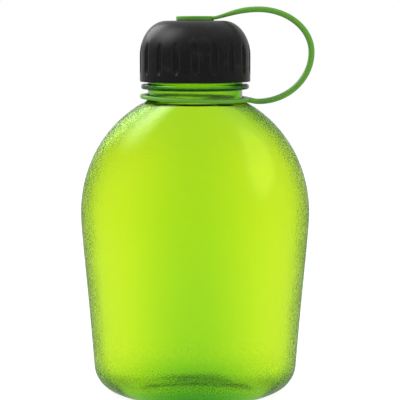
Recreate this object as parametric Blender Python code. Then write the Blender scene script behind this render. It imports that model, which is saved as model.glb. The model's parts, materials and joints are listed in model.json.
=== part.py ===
"""A rigid, clear plastic canteen with a screw cap that a moulded tether keeps on the neck.

Metres, +Z up. The origin is on the neck's axis, on the plane that the base stands on.
The front of the bottle faces -Y, its hollowed back faces +Y, and the tether's loop reaches out along +X.
"""

import math

import bmesh
import bpy
from mathutils import Vector
from mathutils.geometry import interpolate_bezier

MM = 0.001
DEG = math.pi / 180

# Clearances
FACE_GAP = 0.3 * MM  # between pieces that touch
THREAD_GAP = 0.5 * MM  # between a thread's crest and the wall that it turns against
RING_SLACK = 0.9 * MM  # the tether's ring round the neck
CAP_LIFT = 1.2 * MM  # under the cap's skirt, when it is screwed down

# Bottle body
BODY_WIDTH = 129.0 * MM
BODY_DEPTH = 74.0 * MM  # before the section is bent
BODY_HEIGHT = 164.0 * MM  # to the top of the shoulder
WIDEST_LEVEL = 101.4 * MM
BASE_WIDTH = 112.0 * MM  # where the sides would meet the base, if its edge were sharp
BASE_DEPTH = 67.0 * MM
BASE_EDGE = 14.2 * MM  # height of the rounded edge round the base, and its reach at the sides
BASE_EDGE_FRONT = 10.0 * MM  # its reach in front and behind
SIDE_EASE = 0.07  # how gently the sides turn into the shoulder
SHOULDER_POWER = 1.93  # how early the shoulder turns in, 2 is an ellipse
SQUARENESS = 2.4  # exponent of the section's oval, 2 is an ellipse
BEND = 21.0 * MM  # how far the section's two ends sweep back
BASE_BEND = 15.0 * MM  # the same, at the base
BEND_PIVOT = 0.25  # share of the bend that carries the middle forward
BEND_RISE = 50.0 * MM  # height over which the bend grows from the base
WALL = 2.0 * MM
BASE_WALL = 3.0 * MM

# Neck
NECK_RADIUS = 26.0 * MM
NECK_WALL = 2.3 * MM
LEDGE = 2.9 * MM  # step from the shoulder in to the neck
LEDGE_RISE = 0.2 * MM
NECK_FILLET = 1.0 * MM
NECK_LENGTH = 7.65 * MM  # from the shoulder to the collar
COLLAR_REACH = 3.75 * MM
COLLAR_THICKNESS = 2.9 * MM
COLLAR_ROUND = 1.3 * MM
FINISH_LENGTH = 18.3 * MM  # from the collar to the lip
LIP_ROUND = 0.7 * MM

# Screw thread, right handed
THREAD_STARTS = 2
THREAD_LEAD = 8.0 * MM  # rise of one start in a full turn
THREAD_TURNS = 1.15
THREAD_HEIGHT = 1.6 * MM
THREAD_ROOT = 2.5 * MM  # width at the wall
THREAD_CREST = 1.1 * MM
THREAD_SINK = 0.5 * MM  # how deep a ridge is rooted in its wall
THREAD_FOOT = 3.3 * MM  # from the collar to the middle of the ridge, where it begins

# Cap
CAP_WALL = 2.3 * MM
CAP_HEIGHT = 33.2 * MM
DOME_HEIGHT = 19.3 * MM
CROWN_RADIUS = 15.7 * MM  # flat on top of the dome
CROWN_WALL = 3.0 * MM
RIM_ROUND = 0.6 * MM
CAVITY_ROUND = 6.0 * MM
SEAL_THICKNESS = 2.0 * MM
SEAL_OVERLAP = 0.8 * MM  # how far the seal reaches inside the lip
SEAL_EDGE = 0.4 * MM
FLUTES = 18
FLUTE_DEPTH = 1.1 * MM
FLUTE_RADIUS = 3.2 * MM
FLUTE_FOOT = 3.0 * MM  # plain band under the flutes
FLUTE_TIP = 80  # how far a flute's round foot is turned in, in degrees

# Stud that holds the tether's eyelet on the cap
STUD_RADIUS = 2.6 * MM
STUD_HEAD_RADIUS = 5.0 * MM
STUD_HEAD = 0.9 * MM
STUD_EDGE = 0.3 * MM
STUD_DEPTH = 5.4 * MM  # in the cap
BOSS_WALL = 2.6 * MM
BOSS_FLOOR = 2.0 * MM

# Tether
EYELET_RADIUS = 10.4 * MM
EYELET_THICKNESS = 2.2 * MM
EYELET_WEB = 0.9 * MM  # under the stud's head
EYELET_EDGE = 0.5 * MM
RING_WIDTH = 3.4 * MM
RING_HEIGHT = 2.1 * MM
RING_EDGE = 0.6 * MM
RING_TILT_FRONT = 1.0 * DEG  # the loose ring lies lower in front
RING_TILT_SIDE = 2.2 * DEG  # and lower on the loop's side
STRAP_WIDTH = 6.5 * MM
STRAP_THICKNESS = 3.1 * MM
STRAP_ROOT = 1.7 * MM  # thickness where it grows out of the ring and the eyelet
STRAP_EDGE = 0.35  # share of the half thickness taken off each corner
STRAP_TAPER = 20.0 * MM
ROOT_DEPTH = 1.6 * MM  # how deep its roots are set in the ring and the eyelet
LUG = 4.2 * MM  # length of a root, before the strap proper
CREST_RISE = 4.8 * MM  # the loop's top above the eyelet
FOOT_SAG = 0.9 * MM  # the loop's foot below the ring
FOOT_OUT = 4.3 * MM  # from the ring to the loop's middle
LOOP_REACH = 33.6 * MM  # from the ring to the loop's far side
LOOP_LIFT = 1.7 * MM  # the far side above the middle of the loop's height
ROOT_EASE = 0.22  # share of the way to the crest that leaves the eyelet level
CREST_EASE = 0.5  # share of it that runs level into the crest
FOOT_EASE = 0.4  # the same, at both ends of the way from the foot to the ring

# Fineness of the faceted solids
CIRCLE_COUNT = 44
SMALL_COUNT = 28
ARC_STEPS = 3
SHOULDER_STEPS = 8
SIDE_STEPS = 5
TURN_STEPS = 30
STRAP_STEPS = 30
ROUTE_STEPS = 16
FLUTE_COUNT = 10

# Levels and radii that several pieces share
BORE_RADIUS = NECK_RADIUS - NECK_WALL
SHOULDER_RADIUS = NECK_RADIUS + LEDGE
LEDGE_LEVEL = BODY_HEIGHT + LEDGE_RISE
COLLAR_RADIUS = NECK_RADIUS + COLLAR_REACH
COLLAR_FOOT = BODY_HEIGHT + NECK_LENGTH
COLLAR_TOP = COLLAR_FOOT + COLLAR_THICKNESS
LIP_LEVEL = COLLAR_TOP + FINISH_LENGTH
THREAD_LEVEL = COLLAR_TOP + THREAD_FOOT
THREAD_PITCH = THREAD_LEAD / THREAD_STARTS
CAP_BORE = NECK_RADIUS + THREAD_HEIGHT + THREAD_GAP
CAP_RADIUS = CAP_BORE + CAP_WALL
CAP_LEVEL = COLLAR_TOP + CAP_LIFT
CAP_TOP = CAP_LEVEL + CAP_HEIGHT
SEAL_LEVEL = LIP_LEVEL + FACE_GAP
LAND_LEVEL = SEAL_LEVEL + SEAL_THICKNESS + FACE_GAP
SEAL_BORE = BORE_RADIUS - SEAL_OVERLAP
EYELET_LEVEL = CAP_TOP + FACE_GAP
EYELET_MIDDLE = EYELET_LEVEL + EYELET_THICKNESS / 2
RING_BORE = NECK_RADIUS + RING_SLACK
RING_RADIUS = RING_BORE + RING_WIDTH
RING_DROP = RING_RADIUS * math.sin(math.hypot(RING_TILT_FRONT, RING_TILT_SIDE))
RING_LEVEL = LEDGE_LEVEL + FACE_GAP + RING_HEIGHT / 2 + RING_DROP


def clear_scene():
    for thing in list(bpy.data.objects):
        bpy.data.objects.remove(thing, do_unlink=True)


def plastic(name, colour, roughness, clear=0.0):
    """A Principled material: a colour, how rough it is, and how much light passes through it."""
    material = bpy.data.materials.new(name)
    material.use_nodes = True
    shader = material.node_tree.nodes["Principled BSDF"]
    shader.inputs["Base Color"].default_value = (*colour, 1.0)
    shader.inputs["Roughness"].default_value = roughness
    shader.inputs["Metallic"].default_value = 0.0
    shader.inputs["Transmission Weight"].default_value = clear
    return material


def axis_empty(name, level):
    """An empty on the neck's axis, which is the axis of every joint."""
    empty = bpy.data.objects.new(name, None)
    empty.location = (0, 0, level)
    bpy.context.scene.collection.objects.link(empty)
    return empty


def add_skin(mesh_builder, rings, closed):
    """Joins rings of equal count with faces: a tube with two filled ends, or a closed tyre."""
    loops = []
    for ring in rings:
        loops.append([mesh_builder.verts.new(point) for point in ring])
    pairs = list(zip(loops, loops[1:]))
    if closed:
        pairs.append((loops[-1], loops[0]))
    else:
        mesh_builder.faces.new(loops[0])
        mesh_builder.faces.new(loops[-1])
    for near, far in pairs:
        for i in range(len(near)):
            j = (i + 1) % len(near)
            mesh_builder.faces.new((near[i], near[j], far[j], far[i]))


def solid(name, skins, material=None, parent=None, closed=False):
    """One object from one or more skins of rings. Without a material it only cuts or adds to another."""
    builder = bmesh.new()
    for rings in skins:
        add_skin(builder, rings, closed)
    bmesh.ops.recalc_face_normals(builder, faces=builder.faces)
    mesh = bpy.data.meshes.new(name)
    builder.to_mesh(mesh)
    builder.free()
    mesh.shade_smooth()
    mesh.set_sharp_from_angle(angle=32 * DEG)
    thing = bpy.data.objects.new(name, mesh)
    bpy.context.scene.collection.objects.link(thing)
    if material:
        mesh.materials.append(material)
    else:
        thing.hide_render = True
        thing.display_type = "WIRE"
    if parent:
        thing.parent = parent
    return thing


def combine(thing, other, operation):
    """Adds another solid to this one, or cuts it out, with a Boolean that stays on the object."""
    boolean = thing.modifiers.new(other.name, "BOOLEAN")
    boolean.operation = operation
    boolean.solver = "EXACT"
    boolean.object = other


def circle(radius, level, count=CIRCLE_COUNT, centre=(0.0, 0.0)):
    ring = []
    for i in range(count):
        angle = 2 * math.pi * i / count
        ring.append((centre[0] + radius * math.cos(angle), centre[1] + radius * math.sin(angle), level))
    return ring


def turned(profile, count=CIRCLE_COUNT):
    """The rings of a turned piece, from its profile of (radius, level)."""
    return [circle(radius, level, count) for radius, level in profile]


def arc(centre, radius, start, end, rise=None):
    """Profile points on a quarter of a circle, or of an ellipse where its rise is given."""
    rise = radius if rise is None else rise
    points = []
    for i in range(ARC_STEPS + 1):
        angle = (start + (end - start) * i / ARC_STEPS) * DEG
        points.append((centre[0] + radius * math.cos(angle), centre[1] + rise * math.sin(angle)))
    return points


def smooth(share):
    share = min(1.0, max(0.0, share))
    return share * share * (3 - 2 * share)


def half_size(level, widest, base, top):
    """Half the body's width or depth at a level: a soft taper below the widest level, an elliptic shoulder above."""
    if level <= WIDEST_LEVEL:
        share = (WIDEST_LEVEL - level) / WIDEST_LEVEL
        eased = math.hypot(share, SIDE_EASE) - SIDE_EASE
        whole = math.hypot(1, SIDE_EASE) - SIDE_EASE
        return widest - (widest - base) * eased / whole
    rise = (level - WIDEST_LEVEL) / (BODY_HEIGHT - WIDEST_LEVEL)
    drop = 1 - (top / widest) ** 2
    return widest * math.sqrt(1 - drop * rise**SHOULDER_POWER)


def half_width(level):
    return half_size(level, BODY_WIDTH / 2, BASE_WIDTH / 2, SHOULDER_RADIUS)


def half_depth(level):
    return half_size(level, BODY_DEPTH / 2, BASE_DEPTH / 2, SHOULDER_RADIUS)


def body_ring(level, inset_width, inset_depth, seen_level):
    """One ring of the body: a squared oval, bent so that its back is hollow, and round at the shoulder's top."""
    rise = smooth((seen_level - WIDEST_LEVEL) / (BODY_HEIGHT - WIDEST_LEVEL))
    power = 2 / (SQUARENESS + (2 - SQUARENESS) * rise)
    bend = BASE_BEND + (BEND - BASE_BEND) * smooth(seen_level / BEND_RISE)
    bend *= 1 - rise
    wide = half_width(seen_level) - inset_width
    deep = half_depth(seen_level) - inset_depth
    ring = []
    for i in range(CIRCLE_COUNT):
        angle = 2 * math.pi * i / CIRCLE_COUNT
        across = math.copysign(abs(math.cos(angle)) ** power, math.cos(angle))
        along = math.copysign(abs(math.sin(angle)) ** power, math.sin(angle))
        ring.append((wide * across, deep * along + bend * (across * across - BEND_PIVOT), level))
    return ring


def body_rings(inset, floor):
    """The rings of the body's outside, or of its inside when it is inset by the wall, from the base up."""
    edge = BASE_EDGE - inset
    edge_front = BASE_EDGE_FRONT - inset
    rings = []
    for i in range(ARC_STEPS + 2):
        angle = 90 * DEG * i / (ARC_STEPS + 1)
        level = floor + edge * (1 - math.cos(angle))
        taken = 1 - math.sin(angle)
        rings.append(body_ring(level, inset + edge * taken, inset + edge_front * taken, level))
    side_foot = floor + edge
    for i in range(1, SIDE_STEPS + 1):
        level = side_foot + (WIDEST_LEVEL - side_foot) * i / SIDE_STEPS
        rings.append(body_ring(level, inset, inset, level))
    for i in range(1, SHOULDER_STEPS + 1):
        seen = WIDEST_LEVEL + (BODY_HEIGHT - WIDEST_LEVEL) * math.sin(90 * DEG * i / SHOULDER_STEPS)
        slope = (half_width(seen) - half_width(seen - MM)) / MM
        lean = math.hypot(1, slope)
        rings.append(body_ring(seen + inset * slope / lean, inset / lean, inset, seen))
    return rings


def neck_profile():
    """The neck from the shoulder's ledge up over the collar and the lip, and down the bore."""
    profile = [(SHOULDER_RADIUS - LEDGE / 3, LEDGE_LEVEL)]
    profile += arc((NECK_RADIUS + NECK_FILLET, LEDGE_LEVEL + NECK_FILLET), NECK_FILLET, 270, 180)
    profile.append((NECK_RADIUS, COLLAR_FOOT))
    rim = COLLAR_RADIUS - COLLAR_ROUND
    profile += arc((rim, COLLAR_FOOT + COLLAR_ROUND), COLLAR_ROUND, -90, 0)
    profile += arc((rim, COLLAR_TOP - COLLAR_ROUND), COLLAR_ROUND, 0, 90)
    profile.append((NECK_RADIUS, COLLAR_TOP))
    profile += arc((NECK_RADIUS - LIP_ROUND, LIP_LEVEL - LIP_ROUND), LIP_ROUND, 0, 90)
    profile += arc((BORE_RADIUS + LIP_ROUND, LIP_LEVEL - LIP_ROUND), LIP_ROUND, 90, 180)
    profile.append((BORE_RADIUS, BODY_HEIGHT - WALL))
    return profile


def thread_ridges(radius, height, first_level):
    """Each start of a thread as a ridge that runs out into its wall at both ends. A negative height points inward."""
    steps = round(THREAD_TURNS * TURN_STEPS)
    run_out = TURN_STEPS // 10
    sink = -math.copysign(THREAD_SINK, height)
    ridges = []
    for start in range(THREAD_STARTS):
        rings = []
        for step in range(steps + 1):
            angle = 2 * math.pi * (step / TURN_STEPS + start / THREAD_STARTS)
            level = first_level + THREAD_LEAD * step / TURN_STEPS
            full = min(1.0, step / run_out, (steps - step) / run_out)
            crest = sink / 2 + (height - sink / 2) * full
            section = (
                (sink, -THREAD_ROOT / 2),
                (crest, -THREAD_CREST / 2),
                (crest, THREAD_CREST / 2),
                (sink, THREAD_ROOT / 2),
            )
            ring = []
            for out, up in section:
                reach = radius + out
                ring.append((reach * math.cos(angle), reach * math.sin(angle), level + up))
            rings.append(ring)
        ridges.append(rings)
    return ridges


def make_bottle(material):
    neck = turned(neck_profile())
    rings = body_rings(0.0, 0.0) + neck + body_rings(WALL, BASE_WALL)[::-1]
    bottle = solid("bottle_shell", [rings], material)
    thread = solid("neck_thread", thread_ridges(NECK_RADIUS, THREAD_HEIGHT, THREAD_LEVEL))
    combine(bottle, thread, "UNION")


def cap_profile():
    """The cap from the floor of the stud's hole out over the dome, round the skirt, and up inside to the boss."""
    hole = STUD_RADIUS + FACE_GAP
    hole_floor = CAP_HEIGHT - STUD_DEPTH - FACE_GAP
    boss = hole + BOSS_WALL
    ceiling = CAP_HEIGHT - CROWN_WALL
    land = LAND_LEVEL - CAP_LEVEL
    profile = [(hole, hole_floor), (hole, CAP_HEIGHT)]
    dome_foot = (CROWN_RADIUS, CAP_HEIGHT - DOME_HEIGHT)
    dome = arc(dome_foot, CAP_RADIUS - CROWN_RADIUS, 90, 45, DOME_HEIGHT)
    profile += dome + arc(dome_foot, CAP_RADIUS - CROWN_RADIUS, 45, 0, DOME_HEIGHT)[1:]
    profile += arc((CAP_RADIUS - RIM_ROUND, RIM_ROUND), RIM_ROUND, 0, -90)
    profile += [(CAP_BORE, 0.0), (CAP_BORE, land), (SEAL_BORE, land)]
    profile += arc((SEAL_BORE - CAVITY_ROUND, ceiling - CAVITY_ROUND), CAVITY_ROUND, 0, 90)
    profile += [(boss, ceiling), (boss, hole_floor - BOSS_FLOOR)]
    return profile


def flute_cutters():
    """A round-footed rod for each flute, standing so far out that it cuts to the flute's depth."""
    out = CAP_RADIUS - FLUTE_DEPTH + FLUTE_RADIUS
    foot = FLUTE_FOOT + FLUTE_RADIUS
    rods = []
    for i in range(FLUTES):
        angle = 2 * math.pi * (i + 0.5) / FLUTES
        centre = (out * math.cos(angle), out * math.sin(angle))
        rings = []
        for radius, level in arc((0.0, foot), FLUTE_RADIUS, -FLUTE_TIP, 0):
            rings.append(circle(radius, level, FLUTE_COUNT, centre))
        rings.append(circle(FLUTE_RADIUS, CAP_HEIGHT, FLUTE_COUNT, centre))
        rods.append(rings)
    return rods


def make_cap(material, parent):
    cap = solid("cap_shell", [turned(cap_profile())], material, parent)
    flutes = solid("cap_flutes", flute_cutters(), parent=parent)
    first_level = THREAD_LEVEL + THREAD_PITCH / 2 - CAP_LEVEL
    thread = solid("cap_thread", thread_ridges(CAP_BORE, -THREAD_HEIGHT, first_level), parent=parent)
    combine(cap, flutes, "DIFFERENCE")
    combine(cap, thread, "UNION")


def band_profile(inner, outer, low, high, edge):
    """The closed outline of a flat ring with its four edges broken."""
    return [
        (inner + edge, low),
        (outer - edge, low),
        (outer, low + edge),
        (outer, high - edge),
        (outer - edge, high),
        (inner + edge, high),
        (inner, high - edge),
        (inner, low + edge),
    ]


def make_seal(material, parent):
    low = SEAL_LEVEL - CAP_LEVEL
    profile = band_profile(SEAL_BORE, CAP_BORE - FACE_GAP, low, low + SEAL_THICKNESS, SEAL_EDGE)
    solid("cap_seal", [turned(profile)], material, parent, closed=True)


def make_stud(material, parent):
    """The stud from its foot in the cap to its head in the eyelet's counterbore. Its zero is the cap's top."""
    head_foot = FACE_GAP + EYELET_WEB + FACE_GAP
    head_top = head_foot + STUD_HEAD
    profile = [
        (STUD_RADIUS - STUD_EDGE, -STUD_DEPTH),
        (STUD_RADIUS, -STUD_DEPTH + STUD_EDGE),
        (STUD_RADIUS, head_foot),
        (STUD_HEAD_RADIUS, head_foot),
        (STUD_HEAD_RADIUS, head_top - STUD_EDGE),
        (STUD_HEAD_RADIUS - STUD_EDGE, head_top),
    ]
    solid("swivel_stud", [turned(profile, SMALL_COUNT)], material, parent)


def tether_route():
    """Points along the middle of the tether, in the plane of the loop, from the eyelet round to the ring."""
    ring_root = RING_RADIUS - ROOT_DEPTH
    ring_level = RING_LEVEL - ring_root * math.sin(RING_TILT_SIDE)
    middle = RING_RADIUS + FOOT_OUT
    crest = Vector((middle, 0, EYELET_MIDDLE + CREST_RISE))
    foot = Vector((middle, 0, ring_level - FOOT_SAG))
    far = Vector((RING_RADIUS + LOOP_REACH, 0, (crest.z + foot.z) / 2 + LOOP_LIFT))
    eyelet = Vector((EYELET_RADIUS - ROOT_DEPTH, 0, EYELET_MIDDLE))
    ring = Vector((ring_root, 0, ring_level))
    round_handle = 4 / 3 * (math.sqrt(2) - 1)
    out = Vector((far.x - middle, 0, 0)) * round_handle
    up = Vector((0, 0, crest.z - far.z)) * round_handle
    down = Vector((0, 0, foot.z - far.z)) * round_handle
    ease_off = Vector((middle - eyelet.x, 0, 0))
    ease_in = Vector((middle - ring.x, 0, 0))
    stretches = (
        (eyelet, eyelet + ROOT_EASE * ease_off, crest - CREST_EASE * ease_off, crest),
        (crest, crest + out, far + up, far),
        (far, far + down, foot + out, foot),
        (foot, foot - FOOT_EASE * ease_in, ring + FOOT_EASE * ease_in, ring),
    )
    points = [eyelet]
    for stretch in stretches:
        points += interpolate_bezier(*stretch, ROUTE_STEPS + 1)[1:]
    return points


def tether_band(route, start, end, steps):
    """The rings of a stretch of the tether between two lengths along its route."""
    marks = [0.0]
    for near, far in zip(route, route[1:]):
        marks.append(marks[-1] + (far - near).length)
    rings = []
    for step in range(steps + 1):
        length = start + (end - start) * step / steps
        i = 0
        while i < len(marks) - 2 and marks[i + 1] < length:
            i += 1
        middle = route[i].lerp(route[i + 1], (length - marks[i]) / (marks[i + 1] - marks[i]))
        along = (route[min(i + 2, len(route) - 1)] - route[max(i - 1, 0)]).normalized()
        across = Vector((0, 1, 0))
        outward = across.cross(along)
        grown = smooth(min(length, marks[-1] - length) / STRAP_TAPER)
        thick = (STRAP_ROOT + (STRAP_THICKNESS - STRAP_ROOT) * grown) / 2
        edge = STRAP_EDGE * thick
        outline = band_profile(-STRAP_WIDTH / 2, STRAP_WIDTH / 2, -thick, thick, edge)
        rings.append([middle + across * side + outward * rise for side, rise in outline])
    return rings


def make_tether(material, ring_parent, eyelet_parent):
    route = tether_route()
    whole = sum((far - near).length for near, far in zip(route, route[1:]))

    hole = STUD_RADIUS + FACE_GAP
    seat = STUD_HEAD_RADIUS + FACE_GAP
    top = EYELET_THICKNESS
    profile = [
        (hole, 0.0),
        (EYELET_RADIUS - EYELET_EDGE, 0.0),
        (EYELET_RADIUS, EYELET_EDGE),
        (EYELET_RADIUS, top - EYELET_EDGE),
        (EYELET_RADIUS - EYELET_EDGE, top),
        (seat, top),
        (seat, EYELET_WEB),
        (hole, EYELET_WEB),
    ]
    eyelet = solid("tether_eyelet", [turned(profile)], material, eyelet_parent, closed=True)
    eyelet_root = solid("eyelet_root", [tether_band(route, 0.0, ROOT_DEPTH + LUG, 4)])
    combine(eyelet, eyelet_root, "UNION")

    outline = band_profile(RING_BORE, RING_RADIUS, -RING_HEIGHT / 2, RING_HEIGHT / 2, RING_EDGE)
    ring = solid("tether_neck_ring", [turned(outline)], material, ring_parent, closed=True)
    ring.rotation_euler = (RING_TILT_FRONT, RING_TILT_SIDE, 0)
    ring_root = solid("ring_root", [tether_band(route, whole - ROOT_DEPTH - LUG, whole, 4)])
    combine(ring, ring_root, "UNION")

    start = ROOT_DEPTH + LUG + FACE_GAP
    solid("tether_strap", [tether_band(route, start, whole - start, STRAP_STEPS)], material)


def main():
    clear_scene()
    clear_green = plastic("clear_green_plastic", (0.45, 0.72, 0.03), 0.12, clear=0.9)
    strap_green = plastic("strap_green_plastic", (0.12, 0.30, 0.07), 0.42)
    cap_black = plastic("cap_black_plastic", (0.012, 0.013, 0.012), 0.38)
    seal_grey = plastic("seal_grey_rubber", (0.55, 0.56, 0.54), 0.6)
    cap_axis = axis_empty("cap_axis", CAP_LEVEL)
    stud_axis = axis_empty("stud_axis", CAP_TOP)
    eyelet_axis = axis_empty("eyelet_axis", EYELET_LEVEL)
    ring_axis = axis_empty("ring_axis", RING_LEVEL)
    make_bottle(clear_green)
    make_cap(cap_black, cap_axis)
    make_seal(seal_grey, cap_axis)
    make_stud(cap_black, stud_axis)
    make_tether(strap_green, ring_axis, eyelet_axis)


main()
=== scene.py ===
# %% [markdown]
# A clear green canteen bottle with a black screw cap. A moulded green tether keeps the cap on the neck.
# This script is a lesson: each step says what the piece is, how it could be made, and why it is made this
# way. The solids in the frame carry the sizes and the motion. Here they get their fine surfaces and
# finishes.

# %% Load the frame
import json
import math

import bmesh
import bpy
import numpy as np
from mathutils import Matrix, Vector
from mathutils.geometry import interpolate_bezier

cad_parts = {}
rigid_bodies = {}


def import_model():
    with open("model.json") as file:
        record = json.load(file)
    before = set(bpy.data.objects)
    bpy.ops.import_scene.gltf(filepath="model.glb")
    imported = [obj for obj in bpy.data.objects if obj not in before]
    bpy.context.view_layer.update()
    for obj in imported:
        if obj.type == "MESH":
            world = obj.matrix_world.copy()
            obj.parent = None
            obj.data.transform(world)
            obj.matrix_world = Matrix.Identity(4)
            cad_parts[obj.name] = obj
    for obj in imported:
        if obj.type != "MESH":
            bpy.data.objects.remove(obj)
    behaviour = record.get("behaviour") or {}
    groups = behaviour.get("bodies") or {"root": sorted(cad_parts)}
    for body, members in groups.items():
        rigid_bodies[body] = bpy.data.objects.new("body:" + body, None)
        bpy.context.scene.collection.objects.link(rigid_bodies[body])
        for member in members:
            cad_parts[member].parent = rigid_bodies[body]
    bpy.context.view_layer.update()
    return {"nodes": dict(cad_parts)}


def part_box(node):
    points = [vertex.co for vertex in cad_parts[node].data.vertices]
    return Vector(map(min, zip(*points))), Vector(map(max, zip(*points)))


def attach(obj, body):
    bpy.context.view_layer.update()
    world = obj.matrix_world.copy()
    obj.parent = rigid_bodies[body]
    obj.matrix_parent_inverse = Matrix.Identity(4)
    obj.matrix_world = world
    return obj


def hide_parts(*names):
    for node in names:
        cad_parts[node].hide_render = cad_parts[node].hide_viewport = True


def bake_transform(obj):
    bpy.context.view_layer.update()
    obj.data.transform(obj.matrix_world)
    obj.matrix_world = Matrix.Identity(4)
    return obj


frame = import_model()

MM = 0.001
DEG = math.pi / 180
print("frame nodes:", sorted(frame["nodes"]))

# %% [markdown]
# Every level and radius that can be read from the frame is read from it, so that the looks sit where the
# solids are. What lies inside a solid, such as the bend of the body's section, is repeated here as a named
# size in metres.

# %% Sizes from the frame
_, bottle_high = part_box("bottle_shell")
cap_low, cap_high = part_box("cap_shell")
seal_low, seal_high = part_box("cap_seal")
stud_low, stud_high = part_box("swivel_stud")
eyelet_low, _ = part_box("tether_eyelet")

HALF_WIDTH = bottle_high[0]
LIP_LEVEL = bottle_high[2]
CAP_RADIUS = cap_high[0]
CAP_LEVEL = cap_low[2]
CAP_TOP = cap_high[2]
EYELET_RADIUS = -eyelet_low[0]
EYELET_LEVEL = eyelet_low[2]
print("cap from", round(CAP_LEVEL, 4), "to", round(CAP_TOP, 4), "lip at", round(LIP_LEVEL, 4))

# %% [markdown]
# The camera comes first, because every later step is judged through it. The photograph was taken from
# straight in front, from about the height of the cap, with a long lens. The bottle's outline was compared
# with the photograph's to find the distance, and a small tilt frames it, so that no lens shift is needed up
# or down.

# %% Camera
CAMERA_DISTANCE = 0.800
CAMERA_HEIGHT = 0.205
CAMERA_PITCH = 6.767 * DEG
IMAGE_PIXELS = 400
AXIS_PIXEL = 195.1  # where the neck's axis stands in the image, from the left
FOCAL_PIXELS = 1450
SENSOR = 36.0

camera_data = bpy.data.cameras.new("camera")
camera_data.sensor_width = SENSOR
camera_data.lens = FOCAL_PIXELS / IMAGE_PIXELS * SENSOR
camera_data.shift_x = (IMAGE_PIXELS / 2 - AXIS_PIXEL) / IMAGE_PIXELS
camera_data.clip_start = 0.05
camera = bpy.data.objects.new("camera", camera_data)
camera.location = (0, -CAMERA_DISTANCE, CAMERA_HEIGHT)
camera.rotation_euler = (90 * DEG - CAMERA_PITCH, 0, 0)
bpy.context.scene.collection.objects.link(camera)
bpy.context.scene.camera = camera
print("camera lens", round(camera_data.lens, 1), "mm")

# %% [markdown]
# Almost every piece here is turned or swept, so one helper serves them all: it takes rings of points, each
# ring with the same count, and joins neighbours with four-sided faces. The ends are filled, or joined to
# make a closed tyre.


# %% A helper that skins rings
def piece_from_rings(name, rings, closed=False, sharp=40):
    count = len(rings[0])
    points = [tuple(point) for ring in rings for point in ring]
    spans = len(rings) if closed else len(rings) - 1
    faces = []
    for i in range(spans):
        near = i * count
        far = (i + 1) % len(rings) * count
        for j in range(count):
            k = (j + 1) % count
            faces.append((near + j, near + k, far + k, far + j))
    if not closed:
        faces.append(tuple(range(count)))
        faces.append(tuple(range(len(points) - count, len(points))))
    mesh = bpy.data.meshes.new(name)
    mesh.from_pydata(points, [], faces)
    builder = bmesh.new()
    builder.from_mesh(mesh)
    bmesh.ops.recalc_face_normals(builder, faces=builder.faces)
    builder.to_mesh(mesh)
    builder.free()
    mesh.shade_smooth()
    mesh.set_sharp_from_angle(angle=sharp * DEG)
    piece = bpy.data.objects.new(name, mesh)
    bpy.context.scene.collection.objects.link(piece)
    print(name, "has", len(mesh.polygons), "faces")
    return piece


def smooth(share):
    """Eases from 0 to 1 without a kink at either end."""
    share = min(1.0, max(0.0, share))
    return share * share * (3 - 2 * share)


def smooth_all(shares):
    """The same for a whole array."""
    shares = np.clip(shares, 0, 1)
    return shares**2 * (3 - 2 * shares)


def arc(centre, radius, start, end, steps=8, rise=None):
    """Profile points on an arc, or on part of an ellipse where its rise is given."""
    rise = radius if rise is None else rise
    angles = [(start + (end - start) * i / steps) * DEG for i in range(steps + 1)]
    return [(centre[0] + radius * math.cos(a), centre[1] + rise * math.sin(a)) for a in angles]


def straight(start, end, steps):
    """Profile points on a line, without its first point."""
    pairs = []
    for i in range(1, steps + 1):
        share = i / steps
        pairs.append((start[0] + (end[0] - start[0]) * share, start[1] + (end[1] - start[1]) * share))
    return pairs


def circle(radius, level, count):
    angles = [2 * math.pi * j / count for j in range(count)]
    return [(radius * math.cos(a), radius * math.sin(a), level) for a in angles]


# %% [markdown]
# The body is blow moulded: a hot tube of plastic is blown out against a mould. Its outside is a squared
# oval that is bent to sit against the hip, narrows to the base and rounds over into the neck. A subdivision
# surface on a few points could come near it, but the same formula as the solid's keeps the two together,
# with a finer count.

# %% Body outline
BODY_SIDES = 160
BODY_HEIGHT = 164.0 * MM
WIDEST_LEVEL = 101.4 * MM
BODY_DEPTH = 74.0 * MM
BASE_WIDTH = 112.0 * MM
BASE_DEPTH = 67.0 * MM
BASE_EDGE = 14.2 * MM
BASE_EDGE_FRONT = 10.0 * MM
SIDE_EASE = 0.07
SHOULDER_POWER = 1.93
SQUARENESS = 2.4
BEND = 21.0 * MM
BASE_BEND = 15.0 * MM
BEND_PIVOT = 0.25
BEND_RISE = 50.0 * MM
NECK_RADIUS = 26.0 * MM
LEDGE = 2.9 * MM
SHOULDER_RADIUS = NECK_RADIUS + LEDGE
EDGE_STEPS = 14
SIDE_RINGS = 26
SHOULDER_RINGS = 44


def half_size(level, widest, base, top):
    if level <= WIDEST_LEVEL:
        share = (WIDEST_LEVEL - level) / WIDEST_LEVEL
        eased = math.hypot(share, SIDE_EASE) - SIDE_EASE
        whole = math.hypot(1, SIDE_EASE) - SIDE_EASE
        return widest - (widest - base) * eased / whole
    rise = (level - WIDEST_LEVEL) / (BODY_HEIGHT - WIDEST_LEVEL)
    drop = 1 - (top / widest) ** 2
    return widest * math.sqrt(1 - drop * rise**SHOULDER_POWER)


def shoulder_rise(level):
    return smooth((level - WIDEST_LEVEL) / (BODY_HEIGHT - WIDEST_LEVEL))


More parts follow.
